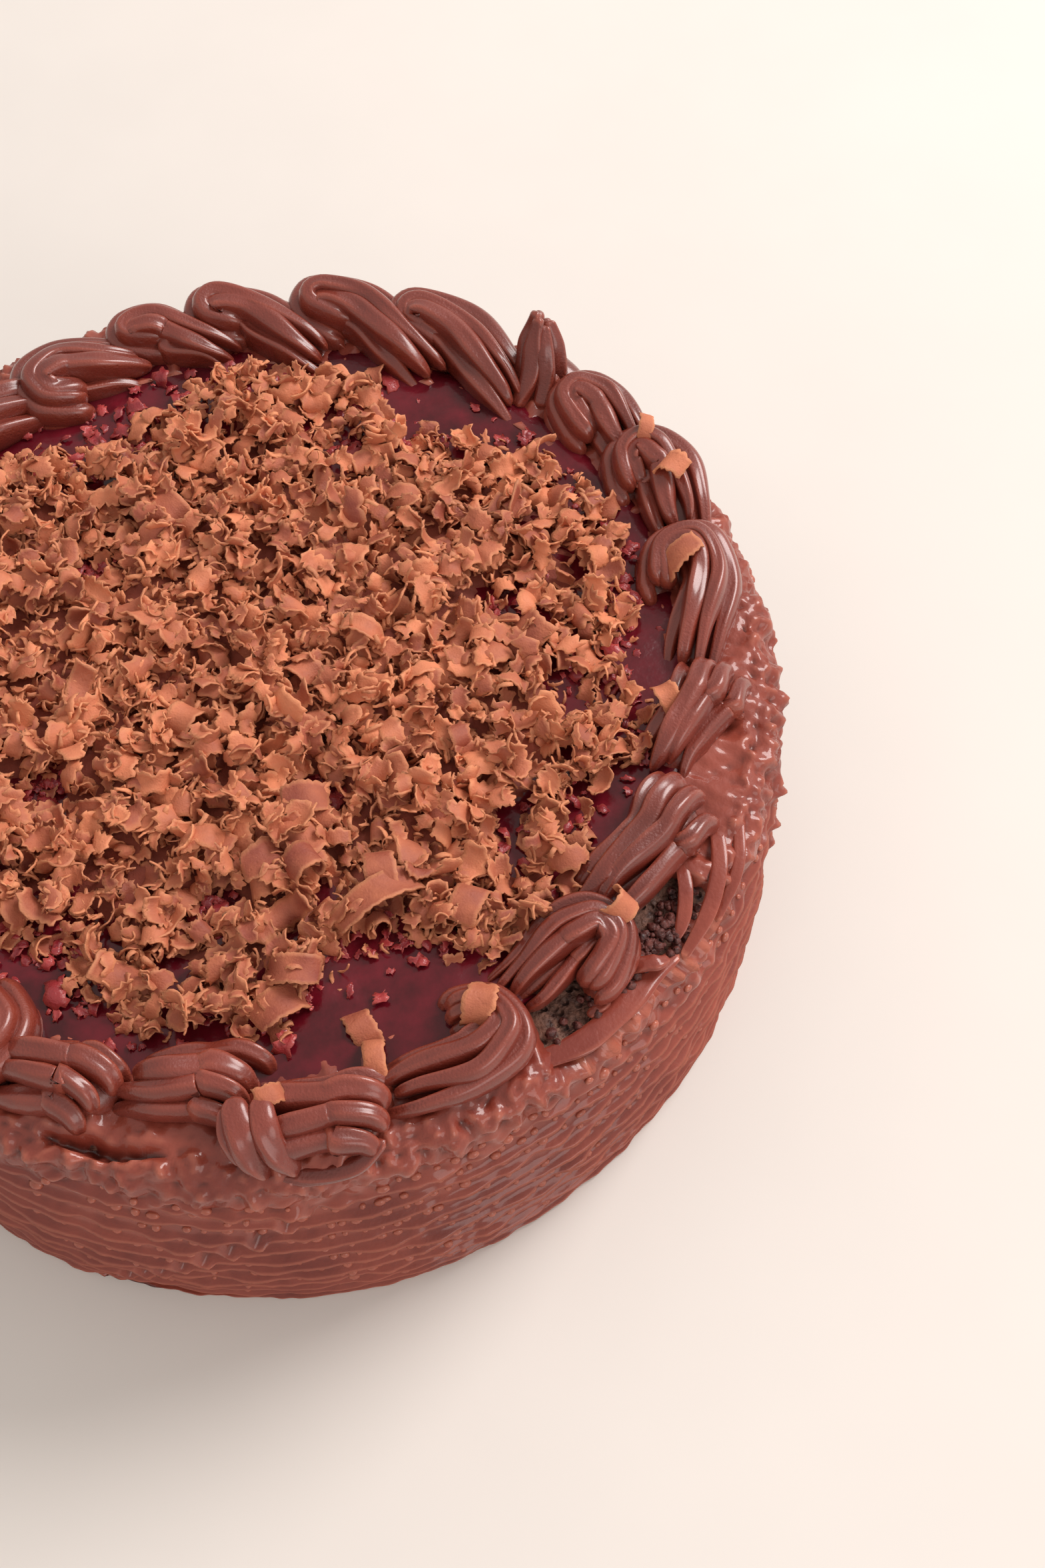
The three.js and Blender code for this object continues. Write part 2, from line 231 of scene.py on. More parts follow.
def fine_grain_group():
    """Fine uneven height, for Bump: grain, with pits where small air holes broke open."""
    group, start, end = new_group(
        "fine_grain",
        [
            ("Grain Size", "NodeSocketFloat", 2000.0),
            ("Pit Size", "NodeSocketFloat", 700.0),
            ("Pit Depth", "NodeSocketFloat", 0.5),
        ],
        [("Height", "NodeSocketFloat")],
    )
    place = place_node(group, "ShaderNodeTexCoord")
    grain = place_node(
        group,
        "ShaderNodeTexNoise",
        [(place.outputs["Object"], "Vector"), (start.outputs["Grain Size"], "Scale")],
        Detail=3.0,
    )
    cell = place_node(
        group,
        "ShaderNodeTexVoronoi",
        [(place.outputs["Object"], "Vector"), (start.outputs["Pit Size"], "Scale")],
    )
    pit = place_node(
        group, "ShaderNodeMapRange", [(cell.outputs["Distance"], "Value")], From_Min=0.1, From_Max=0.35
    )
    deep = place_node(
        group,
        "ShaderNodeMath",
        [(pit.outputs["Result"], 0), (start.outputs["Pit Depth"], 1)],
        operation="MULTIPLY",
    )
    total = place_node(
        group, "ShaderNodeMath", [(grain.outputs["Fac"], 0), (deep.outputs["Value"], 1)], operation="ADD"
    )
    group.links.new(total.outputs["Value"], end.inputs["Height"])
    return group


def painted_shade_and_highlight_group():
    """Paints shade into hollows and a highlight onto lips, from how the surface bends."""
    group, start, end = new_group(
        "painted_crease_shade_and_lip_highlight",
        [
            ("Color", "NodeSocketColor", (0.5, 0.5, 0.5, 1)),
            ("Crease", "NodeSocketColor", (0, 0, 0, 1)),
            ("Lip", "NodeSocketColor", (1, 1, 1, 1)),
            ("Amount", "NodeSocketFloat", 0.5),
        ],
        [("Color", "NodeSocketColor")],
    )
    shape = place_node(group, "ShaderNodeNewGeometry")
    color = start.outputs["Color"]
    # Painted shade darkens the creases and a painted highlight pales the lips.
    for painted_light, slight, full in (("Crease", 0.49, 0.42), ("Lip", 0.52, 0.6)):
        bend = [(shape.outputs["Pointiness"], "Value")]
        mask = place_node(group, "ShaderNodeMapRange", bend, From_Min=slight, From_Max=full)
        share = place_node(
            group,
            "ShaderNodeMath",
            [(mask.outputs["Result"], 0), (start.outputs["Amount"], 1)],
            operation="MULTIPLY",
        )
        color = mix_colors(group, share.outputs["Value"], color, start.outputs[painted_light])
    group.links.new(color, end.inputs["Color"])
    return group


TONE_DRIFT = tone_drift_group()
FINE_GRAIN = fine_grain_group()
PAINTED_CREASE_SHADE_AND_LIP_HIGHLIGHT = painted_shade_and_highlight_group()


def use_group(tree, group, links=(), **values):
    return place_node(tree, "ShaderNodeGroup", links, node_tree=group, **values)


def food_material(name, deep, pale, cloud, rough, grain, lips=None, **shader):
    """A food surface. rough is its (low, high) roughness, grain its (grain size, pit size, pit depth, bump
    in mm) and lips its painted light: (painted crease shade, painted lip highlight, amount)."""
    material = bpy.data.materials.new(name)
    material.use_nodes = True
    tree = material.node_tree
    surface = tree.nodes["Principled BSDF"]
    tone = use_group(tree, TONE_DRIFT, Deep=deep, Pale=pale, Size=cloud)
    color = tone.outputs["Color"]
    if lips:
        # Painted shade in the creases and a painted highlight on the lips.
        crease_shade, lip, amount = lips
        color = use_group(
            tree, PAINTED_CREASE_SHADE_AND_LIP_HIGHLIGHT, [(color, "Color")], Crease=crease_shade, Lip=lip, Amount=amount
        ).outputs["Color"]
    tree.links.new(color, surface.inputs["Base Color"])
    low, high = rough
    gloss = place_node(
        tree, "ShaderNodeMapRange", [(tone.outputs["Share"], "Value")], To_Min=low, To_Max=high
    )
    tree.links.new(gloss.outputs["Result"], surface.inputs["Roughness"])
    grain_size, pit_size, pit_depth, depth = grain
    height = use_group(
        tree, FINE_GRAIN, Grain_Size=grain_size, Pit_Size=pit_size, Pit_Depth=pit_depth
    )
    relief = place_node(tree, "ShaderNodeBump", [(height.outputs["Height"], "Height")], Distance=depth * MM)
    tree.links.new(relief.outputs["Normal"], surface.inputs["Normal"])
    for key, value in shader.items():
        surface.inputs[key.replace("_", " ")].default_value = value
    return material


def shaving_material(name, deep, pale, edge, rough):
    """Chocolate shaved thin: each flake has its own tone, a fine grain and a torn rim pale with dust and
    painted highlight.
    """
    material = food_material(
        name, deep, pale, 160.0, (rough, rough + 0.15), (2600.0, 900.0, 0.4, 0.12)
    )
    tree = material.node_tree
    base = tree.nodes["Principled BSDF"].inputs["Base Color"]
    clouds = base.links[0].from_socket
    own = place_node(tree, "ShaderNodeAttribute", attribute_name="tone")
    rim = place_node(tree, "ShaderNodeAttribute", attribute_name="rim")
    own_tone = mix_colors(tree, own.outputs["Fac"], deep, pale)
    mixed = mix_colors(tree, 0.7, clouds, own_tone)
    # The edge colour on each flake's rim is pale dust, partly painted highlight.
    tree.links.new(mix_colors(tree, rim.outputs["Fac"], mixed, edge), base)
    return material


ICING = food_material(
    "combed_icing",
    srgb(122, 48, 36),
    srgb(148, 68, 52),
    60.0,
    (0.4, 0.55),
    (1500.0, 420.0, 0.5, 0.1),
    # Painted shade for the creases, painted highlight for the lips, and how strong they are
    (srgb(66, 20, 14), srgb(184, 104, 82), 0.75),
    Coat_Weight=0.6,
    Coat_Roughness=0.12,
    Specular_IOR_Level=0.25,
)
PIPING = food_material(
    "piped_chocolate",
    srgb(106, 39, 28),
    srgb(128, 51, 37),
    45.0,
    (0.38, 0.5),
    (2200.0, 800.0, 0.35, 0.16),
    # Painted shade for the creases, painted highlight for the lips, and how strong they are
    (srgb(30, 8, 6), srgb(164, 78, 58), 0.85),
    Coat_Weight=0.85,
    Coat_Roughness=0.2,
    Specular_IOR_Level=0.3,
)
SPONGE = food_material(
    "dark_sponge",
    srgb(52, 24, 18),
    srgb(136, 96, 80),
    420.0,
    (0.5, 0.9),
    (900.0, 420.0, 1.5, 0.8),
)
CRUMBS = food_material(
    "dark_crumbs",
    srgb(48, 16, 14),
    srgb(108, 52, 44),
    600.0,
    (0.4, 0.7),
    (1400.0, 700.0, 1.0, 0.3),
)
JAM = food_material(
    "cherry_jam",
    srgb(66, 7, 16),
    srgb(106, 16, 31),
    90.0,
    (0.16, 0.26),
    (300.0, 160.0, 0.4, 0.25),
    Coat_Weight=0.35,
    Coat_Roughness=0.06,
    Specular_IOR_Level=0.25,
)
SHAVED = shaving_material(
    "shaved_chocolate", srgb(138, 62, 46), srgb(228, 140, 99), srgb(238, 166, 118), 0.6
)
# The shavings packed under the flakes, in their colour darkened by painted shade of the gaps deep in the
# heap.
PACKED_WITH_PAINTED_SHADE = shaving_material(
    "packed_shavings_painted_shade", srgb(112, 46, 34), srgb(160, 80, 56), srgb(160, 80, 56), 0.75
)
STAINED = shaving_material(
    "jam_stained_shreds", srgb(112, 20, 34), srgb(178, 64, 64), srgb(206, 98, 88), 0.2
)


# Sponge

def make_sponge():
    heights = np.linspace(0, SPONGE_TOP, 60)
    angle = whole_turn(720)
    caps = np.linspace(0.05, 0.985, 16)
    middle = SPONGE_TOP - 0.4
    rows = [polar(SPONGE_RADIUS * share, angle, 0.0) for share in caps]
    for height in heights:
        crumb = 0.45 * drift(angle, height, 3.0, 41) + 0.35 * drift(angle, height, 6.0, 42)
        rounding = 1.4 * max(0, (height - SPONGE_TOP + 3) / 3) ** 2
        rows.append(polar(SPONGE_RADIUS - 0.6 - rounding + crumb, angle, height))
    for share in caps[::-1]:
        crumb = 0.35 * drift(angle, SPONGE_RADIUS * share, 3.0, 43)
        rows.append(polar(SPONGE_RADIUS * share, angle, middle + crumb))
    make_piece("sponge_crumb", *closed_rows(rows, 0, middle), SPONGE, "sponge", ["sponge"])


# Combed icing

ICING_COLUMNS = 1200
SIDE_TOP = 63.0  # where the side ends and the shoulder's rounding starts
# Levels of the comb's lips
COMB_LINES = [2.2, 5.6, 9.4, 14.0, 19.4, 25.4, 31.8, 38.6, 45.8, 53.4, 59.4]
# The comb's run ends in a slanting overlap, at the angle low at the foot and high at SIDE_TOP. step is its
# thickness, which fades over as many degrees as fade says. Its lines jump by drop there, and come back into
# line over settle degrees.
SEAM = {"low": 236, "high": 264, "step": 1.2, "fade": 24, "drop": 3.0, "settle": 60}
COMB_SLOPE = 2.4  # how much a face of the comb's run leans out from its top to its lip
COMB_LIP = 1.25  # how far a lip stands out from its face
# Angles where the shoulder is torn, where it has a slit and where a knife smoothed the comb's lines. The
# torn edge has this level, and the icing is drawn in to this radius there.
TORN = {"start": 291, "end": 318, "level": 65.2, "radius": 99.5}
SLIT = {"middle": 243, "half": 5.2, "depth": 5.5, "radius": 103.2}
KNIFED = {"middle": 344, "half": 10}
# Thin folds that the knife left: angle, top and bottom level, and how far they stand out
KNIFE_FOLDS = [(353, 66, 44, 2.0), (333.5, 64, 34, 2.3), (327, 60, 36, 1.0)]


def comb_levels():
    """Levels of the side's rows of points, close together at each lip."""
    near = np.array([-1.1, -0.7, -0.4, -0.15, 0.1, 0.35, 0.65, 1.0, 1.5])
    levels = [line + near * (0.6 if line < 12 else 1) for line in COMB_LINES]
    levels += [np.linspace(0.15, 1.2, 3)]
    for low, high in zip(COMB_LINES[:-1], COMB_LINES[1:]):
        if high - low > 4.5:
            levels.append(np.linspace(low + 2, high - 1.5, max(2, int((high - low - 3.5) / 0.6))))
    levels += [np.linspace(61, SIDE_TOP, 5)]
    return np.unique(np.concatenate(levels).round(3))


def seam_angle(level):
    return SEAM["low"] + (SEAM["high"] - SEAM["low"]) * level / SIDE_TOP


def comb_height(angle, level):
    """Where a level of the comb's run lies at an angle: the hand swayed, and the lines jump at the seam."""
    held = smooth(0, 4, level) * smooth(SIDE_TOP, SIDE_TOP - 5, level)
    past = turn_between(angle, seam_angle(level))
    jump = SEAM["drop"] * smooth(-0.3, 0.8, past) * np.exp(-np.clip(past, 0, 180) / SEAM["settle"])
    sway = 0.8 * drift(angle, 0, 90, 51, 6) + 0.1 * drift(angle, level * 0.4, 16, 52, 10)
    return level + held * (sway - jump)


def comb_relief(angle, level):
    """How far the comb's faces and their torn lips stand out. Each face slopes out downwards to its lip."""
    lines = [*COMB_LINES, SIDE_TOP + 1]
    relief = 0
    for k, (low, high) in enumerate(zip(lines, lines[1:]), 1):
        big = min(1, (high - low) / 6.5)
        share = np.clip((level - low) / (high - low), 0, 1)
        within = (level >= low) & (level < high)
        face = (COMB_SLOPE * (1 - share) ** 1.4 - 1.4) * within
        torn = np.clip(1 + 0.3 * drift(angle, 31 * k, 8.0, 60 + k, 9), 0.5, 1.7)
        above = level - low
        lip = np.where(above > 0, bump(above, 0.6), bump(above, 0.25))
        relief = relief + big * (face + COMB_LIP * lip * torn)
    return relief * smooth(SIDE_TOP, 60.4, level)


def side_radius(angle, level):
    """The icing's side at an angle and a level."""
    taper = FOOT_RADIUS + (SHOULDER_RADIUS - FOOT_RADIUS) * level / SHOULDER
    slow = 0.5 * np.sin(np.radians(3 * angle + 40)) + 0.3 * np.sin(np.radians(7 * angle))
    knifed = bump(turn_between(angle, KNIFED["middle"]), KNIFED["half"]) * smooth(14, 30, level)
    relief = comb_relief(angle, level) * (1 - 0.92 * knifed)
    tips = 1.6 * np.clip(relief, 0, 1.4)
    past = turn_between(seam_angle(level), angle) + tips
    overlap = SEAM["step"] * smooth(0, 0.8, past) * smooth(SEAM["fade"], 4, past)
    smear = knifed * (1.2 + 0.4 * drift(angle, level, 14, 71) + 0.15 * drift(angle, level * 0.3, 4, 72))
    fold = 0
    for middle, top, bottom, out in KNIFE_FOLDS:
        line = middle + 1.2 * np.sin(level * 0.33) + 0.6 * np.sin(level * 0.9 + middle)
        ragged = 0.65 + 0.35 * np.sin(level * 0.8 + middle) * np.sin(level * 0.37)
        ridge = bump(turn_between(angle, line), 0.7) * smooth(bottom, bottom + 8, level)
        fold = fold + out * ragged * ridge * smooth(top, top - 3, level)
    rag = 0.4 * drift(angle, level * 2.4, 9, 73) + 0.3 * drift(angle, level * 2, 4, 74)
    rag = rag * smooth(56, 61, level)
    spread = 0.6 * bump(level, 1.6)
    skin = 0.05 * drift(angle, level, 3, 75)
    return taper + slow + relief + overlap + smear + fold + rag + spread + skin


MOST_BEADS = 300  # the angle that has the most beads


def make_beads():
    """Small round beads of icing in rows over the comb's faces."""
    rng = np.random.default_rng(81)
    around, up = 8, 5
    faces = capped_faces(up, around)
    parts = []
    for low, high in zip(COMB_LINES[1:], [*COMB_LINES[2:], SIDE_TOP]):
        for share in (0.28, 0.66) if high - low > 5 else (0.45,):
            count = int(2 * math.pi * FOOT_RADIUS / rng.uniform(2.9, 3.5))
            for turn in (np.arange(count) + rng.uniform(-0.35, 0.35, count)) * 360 / count:
                crowd = 0.3 + 0.55 * smooth(80, 20, abs(turn_between(turn, MOST_BEADS)))
                knifed = abs(turn_between(turn, KNIFED["middle"])) < KNIFED["half"] + 2
                if rng.random() > crowd or knifed:
                    continue
                size = rng.uniform(0.55, 1.05)
                level = low + share * (high - low) + rng.normal(0, 0.3)
                wide, tall, deep = size * rng.uniform((0.9, 0.75, 0.7), (1.5, 1.0, 1.0))
                turns = np.linspace(0, 2 * math.pi, around, endpoint=False)[None]
                rise = np.linspace(-math.pi / 2 + 0.25, math.pi / 2 - 0.25, up)[:, None]
                uneven = 1 + 0.12 * np.sin(turns * 2 + rng.uniform(0, 6))
                aside = wide * np.cos(rise) * np.cos(turns) * uneven
                upward = tall * np.cos(rise) * np.sin(turns) * uneven - 0.25 * deep * (np.sin(rise) + 1)
                outward = deep * (np.sin(rise) + 0.25) + 0 * turns
                radius = side_radius(np.array([turn]), np.array([level]))[0] + outward
                height = comb_height(np.array([turn]), np.array([level]))[0] + upward
                ring = polar(radius, turn + np.degrees(aside / FOOT_RADIUS), height).reshape(-1, 3)
                ends = ring[:around].mean(0), ring[-around:].mean(0)
                parts.append((np.concatenate([ring, ends]), faces))
    points, faces = join_meshes(parts)
    make_piece("icing_beads", points, faces, ICING, "icing")


def make_icing():
    turns = whole_turn(ICING_COLUMNS)
    levels = comb_levels()
    angle, level = np.meshgrid(turns, levels)
    radius = side_radius(angle, level)
    height = comb_height(angle, level)
    rows = [polar(radius[i], turns, height[i]) for i in range(len(levels))]
    edge = radius[-1]
    # The shoulder rounds over from the side to the flat under the border.
    steps, flat_edge = 12, 103.0
    for step in range(1, steps + 1):
        bend = step / steps * math.pi / 2
        inward = (edge - flat_edge) * (1 - math.cos(bend))
        lift = SIDE_TOP + (SHOULDER - SIDE_TOP) * math.sin(bend)
        climb = (SIDE_TOP + 0.6 * step) * 2.2
        lumps = 0.4 * drift(turns, climb, 9, 91) + 0.38 * drift(turns, climb, 4, 92)
        lumps = lumps + 0.24 * drift(turns, climb * 1.6, 2.2, 94)
        rows.append(polar(edge - inward + lumps * math.cos(bend), turns, lift + lumps * math.sin(bend)))
    for flat in np.linspace(flat_edge - 1, JAM_RADIUS - 0.5, 14):
        lumps = 0.35 * drift(turns, flat, 8, 93) + 0.2 * drift(turns, flat * 1.5, 3, 95)
        rows.append(polar(flat, turns, SHOULDER + lumps))
    points = np.array(rows)
    points = tear_shoulder(points, turns)
    inner = SPONGE_RADIUS - 3
    under = SPONGE_TOP - 3
    closing = [(JAM_RADIUS - 0.5, under), (inner, under), (inner, 40.0), (inner, 0.15)]
    points = np.concatenate([points, [polar(r, turns, z) for r, z in closing]])
    faces = grid_faces(len(points), ICING_COLUMNS, close_rows=True)
    make_piece("icing_combed", points, faces, ICING, "icing", ["icing"])


def tear_shoulder(points, turns):
    """Pulls the icing off the sponge at the torn front right, and opens the slit at the front left."""
    radius = np.hypot(points[..., 0], points[..., 1])
    height = points[..., 2]
    angle = np.broadcast_to(turns, radius.shape)
    ragged = 1.2 * drift(angle, radius, 17, 101) + 0.4 * drift(angle, radius, 5, 102)
    within = smooth(TORN["start"] - 1, TORN["start"] + 2, angle + 0.5 * ragged)
    within = within * smooth(TORN["end"] + 1, TORN["end"] - 2, angle + 0.5 * ragged)
    lip = TORN["level"] + 0.5 * ragged + 1.0 * np.sin(np.radians(angle * 9))
    over = smooth(lip - 0.2, lip + 0.5, height) * within
    dropped = np.minimum(height, SPONGE_TOP - 2.5)
    drawn = np.minimum(radius, TORN["radius"] + 0.4 * ragged)
    height = height + over * (dropped - height)
    radius = radius + over * (drawn - radius)
    slit = bump(turn_between(angle, SLIT["middle"]), SLIT["half"]) ** 0.5
    slit = slit * bump(radius - SLIT["radius"] - 0.4 * ragged, 1.5) * smooth(64, 67, height)
    height = height - SLIT["depth"] * slit * smooth(0.25, 0.6, slit)
    turn = np.radians(angle)
    return np.stack([radius * np.cos(turn), radius * np.sin(turn), height], -1)


# Scraps of icing left on the torn shoulder: stops (radius, angle, height), half width and half height.
SCRAPS = [
    (
        [(101.6, 290, 66.6), (103.8, 295, 66.9), (104, 300, 66.9), (103.6, 305, 66.4), (104.8, 310, 65.6)],
        2.6,
        0.6,
    ),
    ([(99.6, 304.4, 67), (101, 305.6, 68.6), (103.4, 306.8, 69.2), (104.6, 308.2, 68.2)], 1.7, 0.7),
    ([(95, 320, 69.8), (99.8, 316, 69.9), (102.6, 312.4, 67.8), (102.8, 310.4, 66)], 1.5, 0.4),
    ([(99, 326, 70.2), (103.8, 320, 70.2), (105.8, 314.5, 68.2), (106.2, 309.5, 65.4)], 1.7, 0.4),
    ([(103, 328, 69.8), (106.8, 321.5, 68.6), (107.8, 315, 65.8)], 1.3, 0.4),
    ([(100.4, 297.5, 66.6), (101, 299.4, 67.6), (100.2, 301, 67)], 1.2, 0.6),
]


def make_scraps():
    rng = np.random.default_rng(121)
    parts = []
    for stops, width, height in SCRAPS:
        route = [polar(*stop) for stop in stops]
        parts.append(strand_mesh(route, width, height, 1, rng, steps=30, blunt=0.8, thin=0.6))
    points, faces = join_meshes(parts)
    make_piece("shoulder_scraps", points, faces, ICING, "icing")


CRUMB_COUNT = 260
CRUMB_PILE = (99.6, 307)  # radius and angle where most of them lie


def make_crumbs():
    """Crumbs of the torn sponge, lying in the tear and on its smeared edge."""
    rng = np.random.default_rng(131)
    around, up = 8, 5
    turns = np.linspace(0, 2 * math.pi, around, endpoint=False)[None]
    rise = np.linspace(-math.pi / 2 + 0.3, math.pi / 2 - 0.3, up)[:, None]
    faces = capped_faces(up, around)
    flat = 0.8
    parts = []
    for _ in range(CRUMB_COUNT):
        piled = rng.random() < 0.6
        angle = rng.normal(CRUMB_PILE[1], 3.2) if piled else rng.uniform(TORN["start"] + 2, TORN["end"] - 1)
        radius = rng.normal(CRUMB_PILE[0], 1.2) if piled else rng.uniform(97, 104.5)
        size = rng.uniform(0.35, 1.25)
        uneven = size * rng.uniform(0.75, 1.2, (up, around))
        across = uneven * np.cos(rise)
        ball = np.stack([across * np.cos(turns), across * np.sin(turns), flat * uneven * np.sin(rise)], -1)
        ends = [[0, 0, -flat * size], [0, 0, flat * size]]
        place = polar(radius, angle, SPONGE_TOP + rng.uniform(-0.5, 0.9) - 0.35 * max(0, radius - 100))
        parts.append((np.concatenate([ball.reshape(-1, 3), ends]) + place, faces))
    points, faces = join_meshes(parts)
    make_piece("sponge_crumbs", points, faces, CRUMBS, "sponge")


# Cherry jam

JAM_SPREAD = 5.5  # how far it ran out over the icing, under the border


def make_jam():
    shares = np.linspace(1, 0.03, 70)
    angle = whole_turn(360)
    reach = JAM_RADIUS + JAM_SPREAD
    under, over = JAM_TOP - 3, JAM_TOP + 0.5
    rows = [polar(reach, angle, under)]
    for share in shares:
        radius = reach * share
        swell = 0.22 * drift(angle, radius, 26, 111) + 0.05 * drift(angle, radius, 8, 112)
        rim = 0.7 * smooth(reach - 3, reach, radius)
        rows.append(polar(radius, angle, over + swell * smooth(0, 20, radius) - rim))
    make_piece("jam_layer", *closed_rows(rows, under, over), JAM, "jam", ["jam"])


# Piped border
# A swirl's head and tail are angles, crest and end the radii there, hook how far its start reaches out
# (positive) or in (negative) from the crest, and size its scale. It is a bundle of strands side by side, as
# the nozzle's star left them. They start in blunt tongues, turn back over themselves at the head, unless
# hook is 0, and run on to a low tail, where the next swirl covers them.

SWIRL_KEYS = ("head", "tail", "crest", "end", "hook", "size")
SWIRLS = [
    (98, 83, 98, 88, -3, 0.8),
    (87, 68, 99.5, 87, -4, 0.84),
    (73, 52, 101, 89, -4.5, 0.88),
    (60, 38, 101.5, 91, -5, 0.88),
    (42, 36, 101, 98, 3, 0.78),
    (34, 21, 101, 99, -7, 0.76),
    (22, 7, 101, 98, -8, 0.82),
    (6, -14, 98, 90, -10, 0.82),
    (346, 330, 93, 86, 0, 0.82),
    (328, 307, 91, 87, 0, 0.84),
    (307, 291, 88, 88, 9, 0.74),
    (290, 273, 97, 96, -10, 0.74),
    (274, 257, 98, 97, 0, 0.78),
    (260, 244, 90, 92, 0, 0.78),
    (244, 229, 93, 96, 0, 0.8),
]
PEAKS = {5: 87}  # height of the one swirl that was drawn straight up, by its number
FAR_SIDE = {"start": 230, "end": 113, "count": 9}
BORDER_RISE = 4.8  # height of a full swirl's middle over the shoulder
BUNDLE = 9.2  # half the width of a full swirl
# Strands across the bundle, from the loop's inner side (-1) to its outer side (1): place, half width,
# height and lift, as shares of the bundle's half width
STRANDS = [
    (-0.9, 0.28, 0.5, -0.34),
    (-0.34, 0.37, 0.62, 0.08),
    (0.26, 0.29, 0.58, 0.16),
    (0.82, 0.3, 0.5, -0.2),
]
FILLING = (0.0, 0.78, 0.5, -0.52)  # the cream that lies under the strands, in the same shares
STRAND_STEPS = 56  # rows of points along a strand
STRAND_ROUND = 26  # points round a strand


def all_swirls():
    """The swirls that show, and the far side's, which repeat the same hand at an even pace."""
    rows = list(SWIRLS)
    pace = (FAR_SIDE["start"] - FAR_SIDE["end"]) / (FAR_SIDE["count"] - 1)
    for i in range(FAR_SIDE["count"]):
        head = FAR_SIDE["start"] - pace * i
        sway = math.sin(i * 2.3)
        hook = 8 if i % 3 == 1 else -8
        size = 0.97 - 0.015 * i + 0.03 * sway
        rows.append((head, head - pace - 2, 95 + 2 * sway, 91 + sway, hook, size))
    return [dict(zip(SWIRL_KEYS, row)) for row in rows]


def curve_through(points, steps):
    """Evenly spaced points and directions along a smooth curve through the given points."""
    points = np.array(points, dtype=float)
    padded = np.concatenate([[2 * points[0] - points[1]], points, [2 * points[-1] - points[-2]]])
    place = np.linspace(0, len(points) - 1, 12 * steps)
    i = np.minimum(place.astype(int), len(points) - 2)
    t = (place - i)[:, None]
    a, b, c, d = (padded[i + k] for k in range(4))
    spot = 0.5 * (2 * b + (c - a) * t + (2 * a - 5 * b + 4 * c - d) * t**2 + (3 * b - a - 3 * c + d) * t**3)
    run = np.concatenate([[0], np.cumsum(np.linalg.norm(np.diff(spot, axis=0), axis=1))])
    even = np.linspace(0, run[-1], steps)
    spot = np.stack([np.interp(even, run, spot[:, axis]) for axis in range(3)], -1)
    way = np.gradient(spot, axis=0)
    return spot, way / np.linalg.norm(way, axis=1)[:, None], run[-1]


def strand_route(swirl, place, lift, rng):
    """The points that one strand runs through. place is -1 on the loop's inner side and 1 on its outer."""
    head, tail, crest, end, hook = (swirl[key] for key in SWIRL_KEYS[:5])
    half = BUNDLE * swirl["size"]
    base = SHOULDER + BORDER_RISE * swirl["size"] + lift * half
    degree = math.degrees(1 / crest)
    far = (place + 1) / 2
    outward = -1 if hook > 0 else 1
    aside = outward * place * half * 0.9
    stops = []
    if hook:
        narrow = hook - outward * place * half * 0.5
        back = head + (1.5 - 1.1 * (1 - far) * half) * degree
        tip = head - (rng.uniform(9, 13) + 2 * far) * degree
        stops += [
            polar(crest + narrow * 1.02, tip, base - 3.2),
            polar(crest + narrow * 1.05, (tip + back) / 2 - 1.5 * degree, base - 1.4),
            polar(crest + hook / 2 + 0.3 * narrow, back - 0.6 * degree, base - 0.2),
            polar(crest + hook / 2 - 0.25 * hook + 0.35 * aside, back, base + 0.7),
            polar(crest + 0.8 * aside, back - (0.25 * half + 2) * degree, base + 0.8),
        ]
    else:
        start = head - (1 + 0.75 * half * far + rng.uniform(0, 2)) * degree
        stops += [
            polar(crest + aside + 2.6, start + 1.9 * degree, base - 4.0),
            polar(crest + aside + 1.2, start + 0.2 * degree, base - 0.2),
            polar(crest + aside, start - 4 * degree, base + 0.8),
        ]
    inwards = (end - crest) * (0.22 if hook else 0.12)
    middle = crest + inwards - 0.12 * hook + aside * 0.95 + rng.normal(0, 0.5)
    later = crest + (end - crest) * 0.68 + aside * 0.9 + rng.normal(0, 0.7)
    short = rng.uniform(-1.5, 3.5)
    stops += [
        polar(middle, head + (tail - head) * 0.42, base + rng.normal(0, 0.4)),
        polar(later, head + (tail - head) * 0.76, base - 0.6 + rng.normal(0, 0.5)),
        polar(end + aside * 0.8, tail + (short - 1.5) * degree, base - 3.6),
    ]
    return stops


